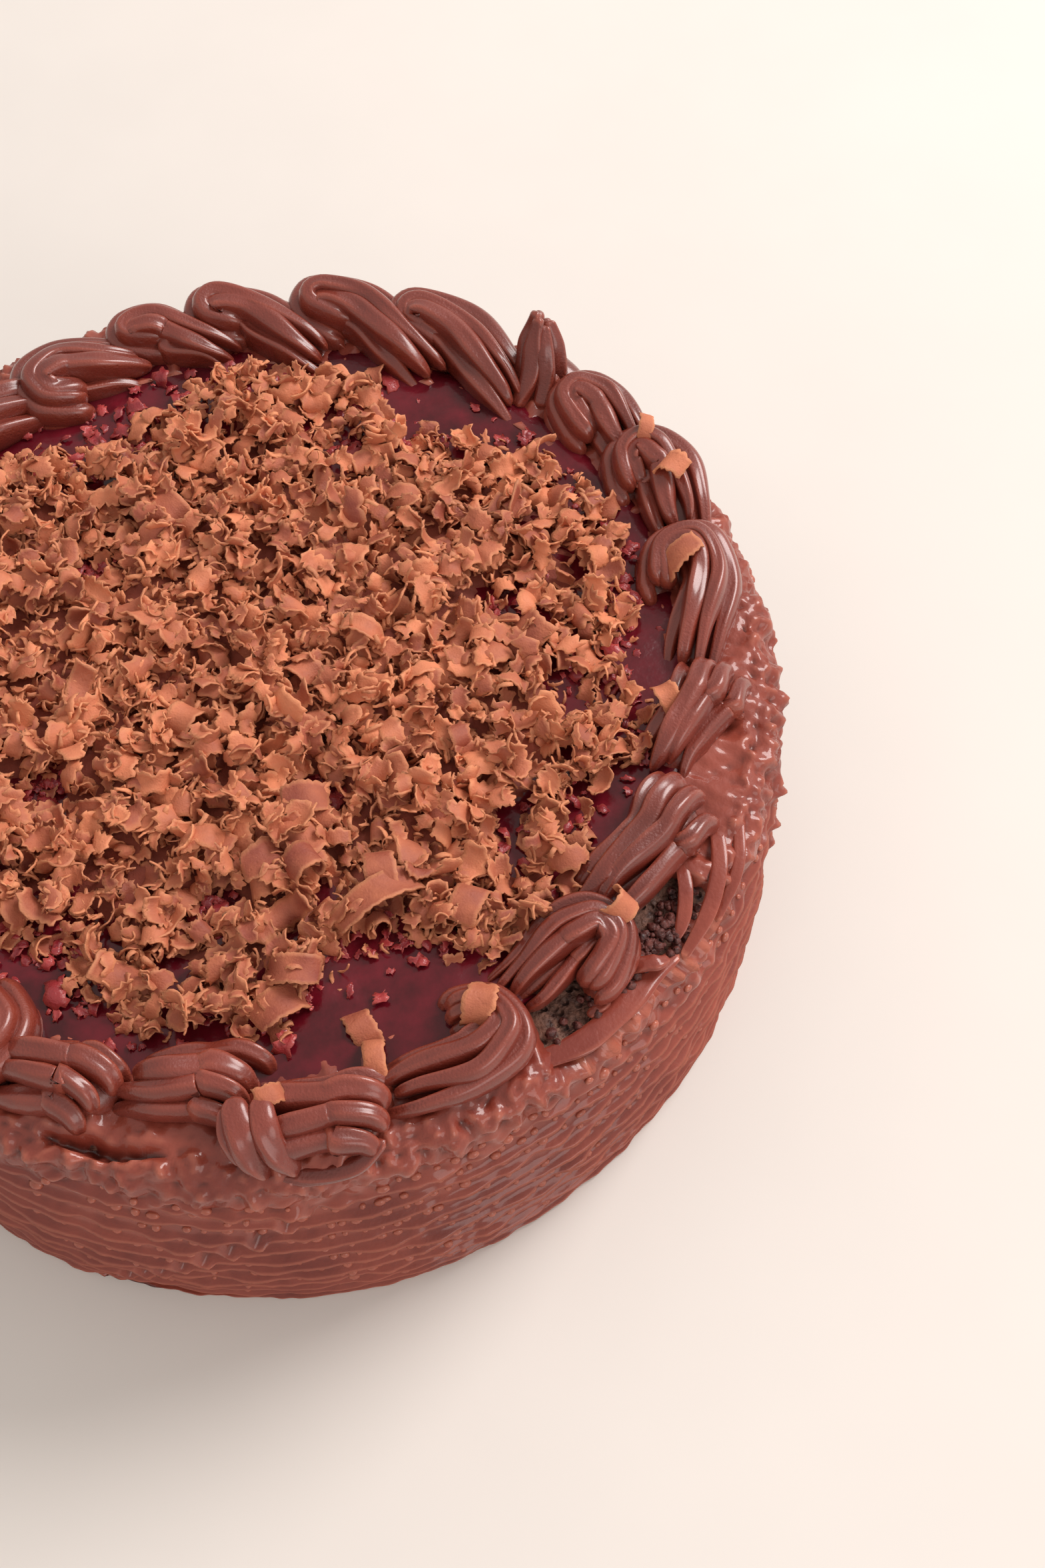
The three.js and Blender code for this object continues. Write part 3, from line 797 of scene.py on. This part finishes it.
def strand_mesh(route, width, height, outer, rng, steps=STRAND_STEPS, blunt=1.0, thin=0.5):
    """One strand: a rounded face with a thin raised lip along its outer side. thin is the tail's share."""
    centre, ahead, length = curve_through(route, steps)
    side = np.cross(ahead, [0, 0, 1])
    side /= np.linalg.norm(side, axis=1)[:, None]
    over = np.cross(side, ahead)
    t = np.linspace(0, 1, steps)[:, None]
    around = np.linspace(0, 2 * math.pi, STRAND_ROUND, endpoint=False)[None]
    lip_at = math.radians(48 if outer > 0 else 132)
    lip_at = lip_at + 0.15 * np.sin(t * rng.uniform(4, 9) + rng.uniform(0, 6))
    from_lip = (around - lip_at + math.pi) % (2 * math.pi) - math.pi
    dent_at = math.copysign(0.62, outer)
    lip = 0.2 * bump(from_lip, 0.26) - 0.09 * bump(from_lip - dent_at, 0.42)
    lip = lip * (1 + 0.3 * np.sin(t * rng.uniform(8, 18) + rng.uniform(0, 6)))
    wobble = 0
    for _ in range(6):
        wobble = wobble + np.sin(rng.integers(0, 3) * around + rng.uniform(3, 20) * t + rng.uniform(0, 6.3))
    cap = blunt * max(width, height) * 1.1 / length
    start = np.sqrt(1 - (1 - np.clip(t / cap, 0, 1)) ** 2)
    finish = np.sqrt(1 - (1 - np.clip((1 - t) / (cap * 0.8), 0, 1)) ** 2)
    swell = (0.84 + 0.16 * smooth(0.02, 0.35, t)) * (1 - (1 - thin) * smooth(0.62, 1, t))
    reach = swell * (0.03 + 0.97 * start) * (0.03 + 0.97 * finish) * (1 + lip + 0.018 * wobble)
    across = reach * width * np.cos(around)
    upward = reach * height * np.sin(around)
    ring = centre[:, None] + side[:, None] * across[..., None] + over[:, None] * upward[..., None]
    points = np.concatenate([ring.reshape(-1, 3), centre[:1], centre[-1:]])
    return points, capped_faces(steps, STRAND_ROUND, flip=True)


FOLD_HEIGHT = 0.58  # half height of a fold, as a share of its half width
# Folds of the piping that hang over the shoulder where its tail bunched up, by the swirl's number:
# (radius, angle, height) stops of each, and its half width
FOLDS = {
    13: [
        ([(95, 257.2, 79.6), (101.2, 258, 78.4), (104.6, 258.8, 74.4), (106.2, 260.4, 68.6)], 3.0),
        ([(95, 260.2, 79.2), (100.6, 260.4, 78.8), (104.2, 261.2, 75.2), (106.6, 263.2, 69.2)], 2.7),
        ([(105.6, 260.2, 69), (107.2, 264, 67.8), (107.4, 268.4, 69), (105.2, 272, 72.6)], 1.9),
        ([(97, 256.4, 79.6), (101.6, 256.6, 77.6), (103.8, 257.4, 73.4), (104.4, 258.2, 70)], 1.8),
    ],
}


def peak_strands(swirl, peak, rng):
    """A swirl that was drawn straight up: strands that lean together and end in a tip."""
    crest = swirl["crest"]
    middle = (swirl["head"] + swirl["tail"]) / 2
    count = 6
    parts = []
    for k in range(count):
        turn = 2 * math.pi * k / count
        out, around = 4.2 * math.cos(turn), math.degrees(3.4 * math.sin(turn) / crest)
        tip = peak - rng.uniform(0, 4)
        wave = rng.uniform(-0.8, 0.8)
        route = [
            polar(crest - 4 + out * 1.5, middle + around * 1.7, SHOULDER - 0.5),
            polar(crest - 1 + out * 1.1, middle + around * 1.1, SHOULDER + 4),
            polar(crest + 1.5 + out * 0.8 + wave, middle + around * 0.8 + 1, SHOULDER + 10),
            polar(crest + 3.5 + out * 0.3, middle + around * 0.3 + 1.5, tip),
        ]
        parts.append(strand_mesh(route, 2.3, 1.9, 1, rng, steps=40, blunt=0.5, thin=0.6))
    return parts


def make_border():
    """Makes each swirl as a piece of its own, and gives back their surfaces for what lies on them."""
    surfaces = []
    for number, swirl in enumerate(all_swirls(), 1):
        rng = np.random.default_rng(200 + number)
        half = BUNDLE * swirl["size"]
        outer = -1 if swirl["hook"] > 0 else 1
        parts = []
        if number in PEAKS:
            parts += peak_strands(swirl, PEAKS[number], rng)
        else:
            for place, width, height, lift in STRANDS:
                place = place + rng.uniform(-0.07, 0.07)
                lift = lift + rng.uniform(-0.07, 0.07)
                route = strand_route(swirl, place, lift, rng)
                width, height = (share * half * rng.uniform(0.9, 1.12) for share in (width, height))
                parts.append(strand_mesh(route, width, height, outer, rng))
        place, width, height, lift = FILLING
        route = strand_route(swirl, place, lift, rng)
        parts.append(strand_mesh(route, width * half, height * half, outer, rng))
        for stops, width in FOLDS.get(number, []):
            route = [polar(*stop) for stop in stops]
            parts.append(strand_mesh(route, width, width * FOLD_HEIGHT, 1, rng, steps=36, thin=0.7))
        points, faces = join_meshes(parts)
        name = f"swirl_{number:02d}"
        make_piece(f"{name}_piped", points, faces, PIPING, "piping", [name])
        surfaces.append((points, faces))
    return surfaces


# Shavings

# Bays in the heap's edge: angle, depth and half width in degrees
BAYS = [
    (103, 13, 12),
    (50, 8, 12),
    (350, 5, 8),
    (322, 9, 8),
    (277, 14, 12),
    (226, 12, 8),
    (170, 9, 14),
    (140, 5, 6),
]
# Holes in the heap where the jam shows: radius, angle and size
HOLES = [
    (54, 3, 6),
    (68, 345, 6),
    (68, 313, 6),
    (32, 283, 4),
    (55, 252, 4),
    (60, 60, 4),
    (45, 130, 4),
    (50, 200, 5),
]
CORE_RISE = 2.6  # of the heap's packed core at its middle
HOLE_DEPTH = 5.5
REST_SHARE = 0.72  # a flake comes to rest when this share of it is over what lies under it
FRONT_BROWN = 0.5  # how much browner the flakes are at the heap's front
RIM_DUST_AND_HIGHLIGHT = 0.4  # how much of the rim's colour a flake's rim takes: pale dust, partly painted highlight
CELL = 1.0  # size of a square of the ground that the flakes are dropped on
HALF_SPAN = 112  # half the width of that ground


def heap_reach(angle):
    """The heap's radius at an angle, with bays where the jam shows."""
    reach = HEAP_RADIUS + 1.2 * np.sin(np.radians(5 * angle)) + 0.8 * np.sin(np.radians(11 * angle + 60))
    for bay, depth, half_width in BAYS:
        reach = reach - depth * bump(turn_between(angle, bay), half_width)
    return reach


def core_height(x, y):
    """Height of the heap's packed core over the jam, below zero in the holes where the jam shows."""
    angle = np.degrees(np.arctan2(y, x)) % 360
    radius = np.hypot(x, y)
    share = radius / (heap_reach(angle) - 3)
    uneven = np.sin(x * 0.31 + 1) * np.sin(y * 0.27) + 0.6 * np.sin(x * 0.53 + y * 0.4)
    height = CORE_RISE * (1 - np.clip(share, 0, 1.2) ** 3) - 0.5 + 0.6 * uneven
    for hole_radius, hole_angle, size in HOLES:
        spot = polar(hole_radius, hole_angle, 0.0)
        height = height - HOLE_DEPTH * bump(np.hypot(x - spot[0], y - spot[1]), size)
    return height


def make_core():
    angle = whole_turn(240)
    under = JAM_TOP - 1.5
    rows = [polar(heap_reach(angle) - 1, angle, under)]
    for share in np.linspace(1, 0.02, 60):
        spot = polar((heap_reach(angle) - 1) * share, angle, 0.0)
        crumb = 0.35 * np.sin(spot[:, 0] * 1.7) * np.sin(spot[:, 1] * 1.5 + 1)
        spot[:, 2] = JAM_TOP + 0.4 + core_height(spot[:, 0], spot[:, 1]) + crumb
        rows.append(spot)
    points, faces = closed_rows(rows, under, rows[-1][:, 2].mean())
    # A low fixed tone keeps the core dark: painted shade between the flakes.
    tone = np.full(len(points), 0.3)
    make_piece("shavings_core", points, faces, PACKED_WITH_PAINTED_SHADE, "shavings", (), {"tone": tone, "rim": tone * 0})


# Kinds of shaving: how many, length, width, curl radius, points along and across, raggedness of the edges
# and thickness. The sizes of curls_shown come from SHOWN.
KINDS = {
    "curls_large": (34, (10, 15), (5.5, 8), (4, 8), (15, 7), 0.14, 0.45),
    "flakes_wide": (620, (6, 10.5), (4.2, 7.5), (2.8, 7.5), (13, 6), 0.3, 0.34),
    "flakes_broad": (600, (4.5, 8.5), (4, 6.5), (2, 5), (13, 6), 0.28, 0.32),
    "flakes_small": (1380, (3, 6.5), (2.4, 5), (1.8, 5), (9, 4), 0.38, 0.28),
    "shreds": (1800, (2.5, 7), (0.6, 1.4), (1.3, 4), (9, 2), 0.3, 0.26),
    "curls_shown": (8, (9, 9), (6, 6), (5, 5), (21, 8), 0.1, 0.5),
}
# How a kind falls: how much of the heap is there before its first, its tilt in radians, its palest tone and
# how far past the heap's edge it goes. The curls shown come last of all.
FALLS = {
    "curls_large": (0.5, 0.35, 0.6, -3),
    "flakes_wide": (0.2, 0.55, 1, 6),
    "flakes_broad": (0.1, 0.55, 1, 6),
    "flakes_small": (0.0, 0.55, 1, 6),
    "shreds": (0.1, 0.55, 1, 6),
    "curls_shown": (2, 0.12, 0.3, 0),
}
# The curls that stand out at the front of the heap: radius, angle, turn, length, width and curl radius
SHOWN = [
    (61.2, 281.9, 23, 21, 6.6, 16),
    (35, 275.8, -12, 10, 7.5, 9),
    (50.1, 270.5, 20, 15, 7, 4.6),
    (75.7, 262.4, 25, 13, 7, 7),
    (70.6, 294.3, 60, 12, 7, 6),
    (70, 265.3, 160, 12, 6.5, 5),
    (82, 272.9, 100, 10, 6, 7),
    (56, 285, 80, 10, 7, 6),
]


def curled_shells(kind, count, rng, sizes=None):
    """Thin curled flakes about their own centres: points by (count, side, along, across, axis), and a mask
    of their rims."""
    _, lengths, widths, curls, (stations, strands), rag, thickness = KINDS[kind]
    length = rng.uniform(*lengths, (count, 1, 1))
    width = rng.uniform(*widths, (count, 1, 1))
    curl = rng.uniform(*curls, (count, 1, 1))
    if sizes is not None:
        length, width, curl = np.array(sizes, dtype=float).T[:, :, None, None]
    u = np.linspace(-0.5, 0.5, stations)[None, :, None]
    v = np.linspace(-1, 1, strands)[None, None, :]
    tight = 1 + rng.uniform(-0.3, 1.1, (count, 1, 1)) * (u + 0.5)
    bend = np.cumsum(np.broadcast_to(tight * length / stations / curl, (count, stations, 1)), axis=1)
    bend = bend - bend[:, stations // 2 : stations // 2 + 1]
    step = length / stations
    along = np.cumsum(np.cos(bend) * step, axis=1)
    drop = -np.cumsum(np.sin(bend) * step, axis=1)
    along = along - along.mean(axis=1, keepdims=True)
    torn = 1 - rag * rng.random((count, stations, 2)) * (1 + rng.random((count, stations, 2)))
    point = 1.7 * rag * rng.random((count, 1, 2)) * np.abs(2 * u) ** rng.uniform(1, 3, (count, 1, 2))
    half = width / 2 * (torn - point)
    across = np.where(v > 0, half[..., 1:2] * v, half[..., 0:1] * v)
    across = across + rng.uniform(-0.25, 0.25, (count, 1, 1)) * u * width
    ends = np.zeros((count, stations, strands))
    ends[:, 0] = rng.uniform(-1, 0.4, (count, strands)) * rag * 0.8
    ends[:, -1] = rng.uniform(-0.4, 1, (count, strands)) * rag * 0.8
    along = along + ends * width * 0.5 + 0 * v
    cup = rng.uniform(-0.12, 0.2, (count, 1, 1)) * width * (v**2 - 0.3)
    twist = rng.uniform(-0.5, 0.5, (count, 1, 1)) * u
    ripple = 0.25 * thickness * np.sin(u * rng.uniform(8, 20, (count, 1, 1)) + v * 2)
    height = drop + cup + twist * across + ripple
    normal = np.stack(np.broadcast_arrays(np.sin(bend), 0 * v, np.cos(bend)), -1)
    spine = np.stack(np.broadcast_arrays(along, across, height), -1)
    shells = np.stack([spine + normal * thickness / 2, spine - normal * thickness / 2], 1)
    edge = np.maximum(np.abs(v) > 0.99, np.abs(u) > 0.499) * np.ones((count, stations, strands))
    return shells, np.broadcast_to(edge[:, None], shells.shape[:-1])


def shell_faces(stations, strands):
    """Faces of one thin shell: its upper side, its lower side and the rim between them."""
    upper = grid_faces(stations, strands, close_columns=False)
    lower = upper[:, ::-1] + stations * strands
    loop = [(0, j) for j in range(strands)]
    loop += [(i, strands - 1) for i in range(1, stations)]
    loop += [(stations - 1, j) for j in range(strands - 2, -1, -1)]
    loop += [(i, 0) for i in range(stations - 2, 0, -1)]
    flat = np.array([i * strands + j for i, j in loop])
    after = np.roll(flat, -1)
    rim = np.stack([flat, flat + stations * strands, after + stations * strands, after], -1)
    return np.concatenate([upper, lower, rim])


def turned(shells, yaw, pitch, roll):
    """Flakes turned by their own angles in radians."""
    cy, sy, cp, sp, cr, sr = (f(a) for a in (yaw, pitch, roll) for f in (np.cos, np.sin))
    zero, one = np.zeros_like(yaw), np.ones_like(yaw)
    about_z = np.array([[cy, -sy, zero], [sy, cy, zero], [zero, zero, one]])
    about_y = np.array([[cp, zero, sp], [zero, one, zero], [-sp, zero, cp]])
    about_x = np.array([[one, zero, zero], [zero, cr, -sr], [zero, sr, cr]])
    whole = np.einsum("ijn,jkn,kln->nil", about_z, about_y, about_x)
    return np.einsum("nij,nfuvj->nfuvi", whole, shells)


def drop_spots(count, rng, spread=0.0):
    """Random places in the heap, thinner at its rim."""
    spots = []
    while len(spots) < count:
        radius = (JAM_RADIUS + 1) * math.sqrt(rng.random())
        angle = rng.uniform(0, 360)
        x, y, _ = polar(radius, angle, 0.0)
        edge = (heap_reach(angle) + spread - radius) / 9
        open_jam = core_height(x, y) < -0.2 and radius < heap_reach(angle) - 8
        if rng.random() < min(1, max(0, edge)) and not (open_jam and rng.random() < 0.8):
            spots.append((x, y))
    return np.array(spots)


def make_shavings():
    rng = np.random.default_rng(404)
    span = np.arange(-HALF_SPAN, HALF_SPAN + CELL, CELL)
    x, y = np.meshgrid(span, span, indexing="ij")
    angle = np.degrees(np.arctan2(y, x)) % 360
    inside = np.hypot(x, y) < heap_reach(angle) - 1
    ground = JAM_TOP + 0.3 + np.where(inside, np.maximum(core_height(x, y), 0), 0)
    kinds, drops = {}, []
    for kind, (count, *_) in KINDS.items():
        late, tilt, pale, spread = FALLS[kind]
        shown = kind == "curls_shown"
        shells, rim = curled_shells(kind, count, rng, [curl[3:] for curl in SHOWN] if shown else None)
        flipped = math.pi * (rng.random(count) < (0 if shown else 0.4))
        yaw = np.radians([curl[2] for curl in SHOWN]) if shown else rng.uniform(0, 2 * math.pi, count)
        shells = turned(shells, yaw, rng.normal(0, tilt, count), rng.normal(0, tilt, count) + flipped)
        kinds[kind] = (shells, rim, pale * rng.random(count))
        if shown:
            drops += [(late, kind, k, polar(*SHOWN[k][:2], 0.0)[:2]) for k in range(count)]
            continue
        spots = drop_spots(count, rng, spread)
        drops += [(late + (1 - late) * rng.random(), kind, k, spots[k]) for k in range(count)]
    # Each falls until most of it rests on what lies there, and the front of the heap is browner.
    for _, kind, k, spot in sorted(drops, key=lambda drop: drop[0]):
        shell = kinds[kind][0][k]
        kinds[kind][2][k] *= 1 - FRONT_BROWN * smooth(-30, -70, spot[1])
        shell[..., :2] += spot
        i, j = (np.rint((shell[..., axis] + HALF_SPAN) / CELL).astype(int) for axis in (0, 1))
        shell[..., 2] += np.quantile(ground[i, j] - shell[..., 2], REST_SHARE)
        np.maximum.at(ground, (i, j), shell[..., 2] - 0.3)
    for kind, (shells, rim, tone) in kinds.items():
        build_flakes(kind, shells, rim, tone, SHAVED, "shavings", ["shavings"])


def build_flakes(name, shells, rim, tone, material, slot="shavings", nodes=()):
    """Makes one piece of many flakes, each with a tone of its own and a rim paler with dust and painted
    highlight.
    """
    count, _, stations, strands, _ = shells.shape
    per = 2 * stations * strands
    one = shell_faces(stations, strands)
    faces = (one[None] + np.arange(count)[:, None, None] * per).reshape(-1, 4)
    values = {"tone": np.repeat(tone, per), "rim": rim.reshape(-1) * RIM_DUST_AND_HIGHLIGHT}
    make_piece(f"shavings_{name}", shells, faces.tolist(), material, slot, nodes, values)


LOOSE_SCALE = 0.74  # of a loose curl of size 1, against a large curl of the heap
# Loose curls that lie on the border: radius, angle, turn and size
LOOSE = [
    (101, 21, 60, 0.9),
    (100, 14, 130, 1.2),
    (92.7, 1, 20, 1.1),
    (85, 339.5, 100, 1.0),
    (91.4, 308, 40, 1.1),
    (89, 287.5, 65, 1.15),
    (89.6, 273.5, 80, 1.1),
    (95, 261, 10, 0.8),
    (84, 60, 75, 1.0),
    (98, 120, 30, 1.0),
    (101, 180, 100, 0.9),
    (92, 205, 150, 1.1),
]


def make_loose_curls(border):
    """Curls lying on the piping, each on the higher points under it."""
    rng = np.random.default_rng(515)
    points, faces = join_meshes(border)
    tree = BVHTree.FromPolygons([Vector(p) for p in points], faces)
    shells, rim = curled_shells("curls_large", len(LOOSE), rng)
    scale = np.array([LOOSE_SCALE * size for *_, size in LOOSE])[:, None, None, None, None]
    yaw = np.radians([turn for _, _, turn, _ in LOOSE])
    shells = turned(shells * scale, yaw, rng.normal(0, 0.3, len(LOOSE)), rng.normal(0, 0.4, len(LOOSE)))
    for shell, (radius, angle, _, _) in zip(shells, LOOSE):
        spot = polar(radius, angle, 0.0)
        shell[..., :2] += spot[:2]
        under = []
        well_above = 120
        for p in shell[1].reshape(-1, 3):
            hit = tree.ray_cast(Vector((p[0], p[1], well_above)), Vector((0, 0, -1)))[0]
            under.append((hit.z if hit else SHOULDER) - p[2])
        shell[..., 2] += np.quantile(under, 0.8)
    build_flakes("loose_curls", shells, rim, rng.uniform(0.1, 0.6, len(LOOSE)), SHAVED)


SUNKEN_COUNT = 760
SUNKEN_SIZES = (0.28, 0.85)  # against a small flake
# Shares of the sunken bits: those in the bays, which are larger, of these the ones in the first bay, and of
# all bits those in the holes
BAY_SHARE = 0.17
FIRST_BAY_SHARE = 0.4
HOLE_SHARE = 0.25


def make_sunken_bits():
    """Bits that sank into the jam and took its colour, at the heap's edge and in its bays and holes."""
    rng = np.random.default_rng(616)
    count = SUNKEN_COUNT
    shells, rim = curled_shells("flakes_small", count, rng)
    shells = turned(
        shells * rng.uniform(*SUNKEN_SIZES, (count, 1, 1, 1, 1)),
        rng.uniform(0, 2 * math.pi, count),
        rng.normal(0, 0.25, count),
        rng.normal(0, 0.25, count),
    )
    for shell in shells:
        if rng.random() < BAY_SHARE:
            first = rng.random() < FIRST_BAY_SHARE
            bay, _, half_width = BAYS[0] if first else BAYS[rng.integers(len(BAYS))]
            angle = rng.normal(bay, half_width * 0.7)
            radius = heap_reach(angle) + rng.uniform(-1, 15)
            shell *= rng.uniform(1, 1.8)
        else:
            angle = rng.uniform(0, 360)
            radius = heap_reach(angle) + rng.normal(1, 3.5)
        radius = min(radius, JAM_RADIUS - 1)
        if rng.random() < HOLE_SHARE:
            hole_radius, hole_angle, size = HOLES[rng.integers(len(HOLES))]
            spot = polar(hole_radius, hole_angle, 0.0)[:2] + rng.normal(0, size * 0.6, 2)
        else:
            spot = polar(radius, angle, 0.0)[:2]
        shell[..., :2] += spot
        shell[..., 2] += JAM_TOP + 0.55 + rng.uniform(-0.25, 0.35)
    build_flakes("sunken_bits", shells, rim, rng.random(count), STAINED, "jam")


# Studio, in metres and watts

BACKDROP = {"Color": (1.0, 0.95, 0.9, 1), "Strength": 0.67}
# Lights: place, the point they face, width, power and colour
LIGHTS = {
    "window": ((1.38, 0.55, 1.44), (0, 0, 0.05), 1.0, 33, (1.0, 0.94, 0.92)),
    "fill": ((0.6, -1.05, 0.7), (0, 0, 0.03), 0.8, 4, (1.0, 0.93, 0.9)),
}


def make_floor():
    """A plain pale floor, six metres wide."""
    size = 3.0
    mesh = bpy.data.meshes.new("floor")
    corners = [(-size, -size, 0), (size, -size, 0), (size, size, 0), (-size, size, 0)]
    mesh.from_pydata(corners, [], [(0, 1, 2, 3)])
    material = food_material(
        "pale_floor", srgb(222, 216, 210), srgb(228, 222, 216), 4.0, (0.6, 0.7), (40.0, 20.0, 0.0, 0.01)
    )
    mesh.materials.append(material)
    floor = bpy.data.objects.new("floor", mesh)
    bpy.context.scene.collection.objects.link(floor)


def add_light(name, place, target, size, watts, colour):
    data = bpy.data.lights.new(name, "AREA")
    data.shape = "DISK"
    data.size = size
    data.energy = watts
    data.color = colour
    light = bpy.data.objects.new(name, data)
    light.location = place
    light.rotation_euler = (Vector(target) - Vector(place)).to_track_quat("-Z", "Y").to_euler()
    bpy.context.scene.collection.objects.link(light)


def make_studio():
    world = bpy.data.worlds.new("studio")
    world.use_nodes = True
    for key, value in BACKDROP.items():
        world.node_tree.nodes["Background"].inputs[key].default_value = value
    bpy.context.scene.world = world
    for name, settings in LIGHTS.items():
        add_light(name, *settings)
    bpy.context.scene.view_settings.view_transform = "Standard"


def make_camera():
    """The photograph's view: from the front and above, turned a little to the right."""
    yaw, pitch = 0.2575, 1.0608
    place = (AXIS.x, AXIS.y - 0.2165, 0.3987)
    ahead = Vector((math.sin(yaw) * math.cos(pitch), math.cos(yaw) * math.cos(pitch), -math.sin(pitch)))
    right = Vector((math.cos(yaw), -math.sin(yaw), 0))
    above = right.cross(ahead)
    data = bpy.data.cameras.new("camera")
    data.lens = 42.86
    data.sensor_width = 36
    camera = bpy.data.objects.new("camera", data)
    turn = Matrix((right, above, -ahead)).transposed().to_4x4()
    camera.matrix_world = Matrix.Translation(place) @ turn
    bpy.context.scene.collection.objects.link(camera)
    bpy.context.scene.camera = camera


make_sponge()
make_icing()
make_beads()
make_scraps()
make_crumbs()
make_jam()
border_surfaces = make_border()
make_core()
make_shavings()
make_loose_curls(border_surfaces)
make_sunken_bits()
make_floor()
make_studio()
make_camera()
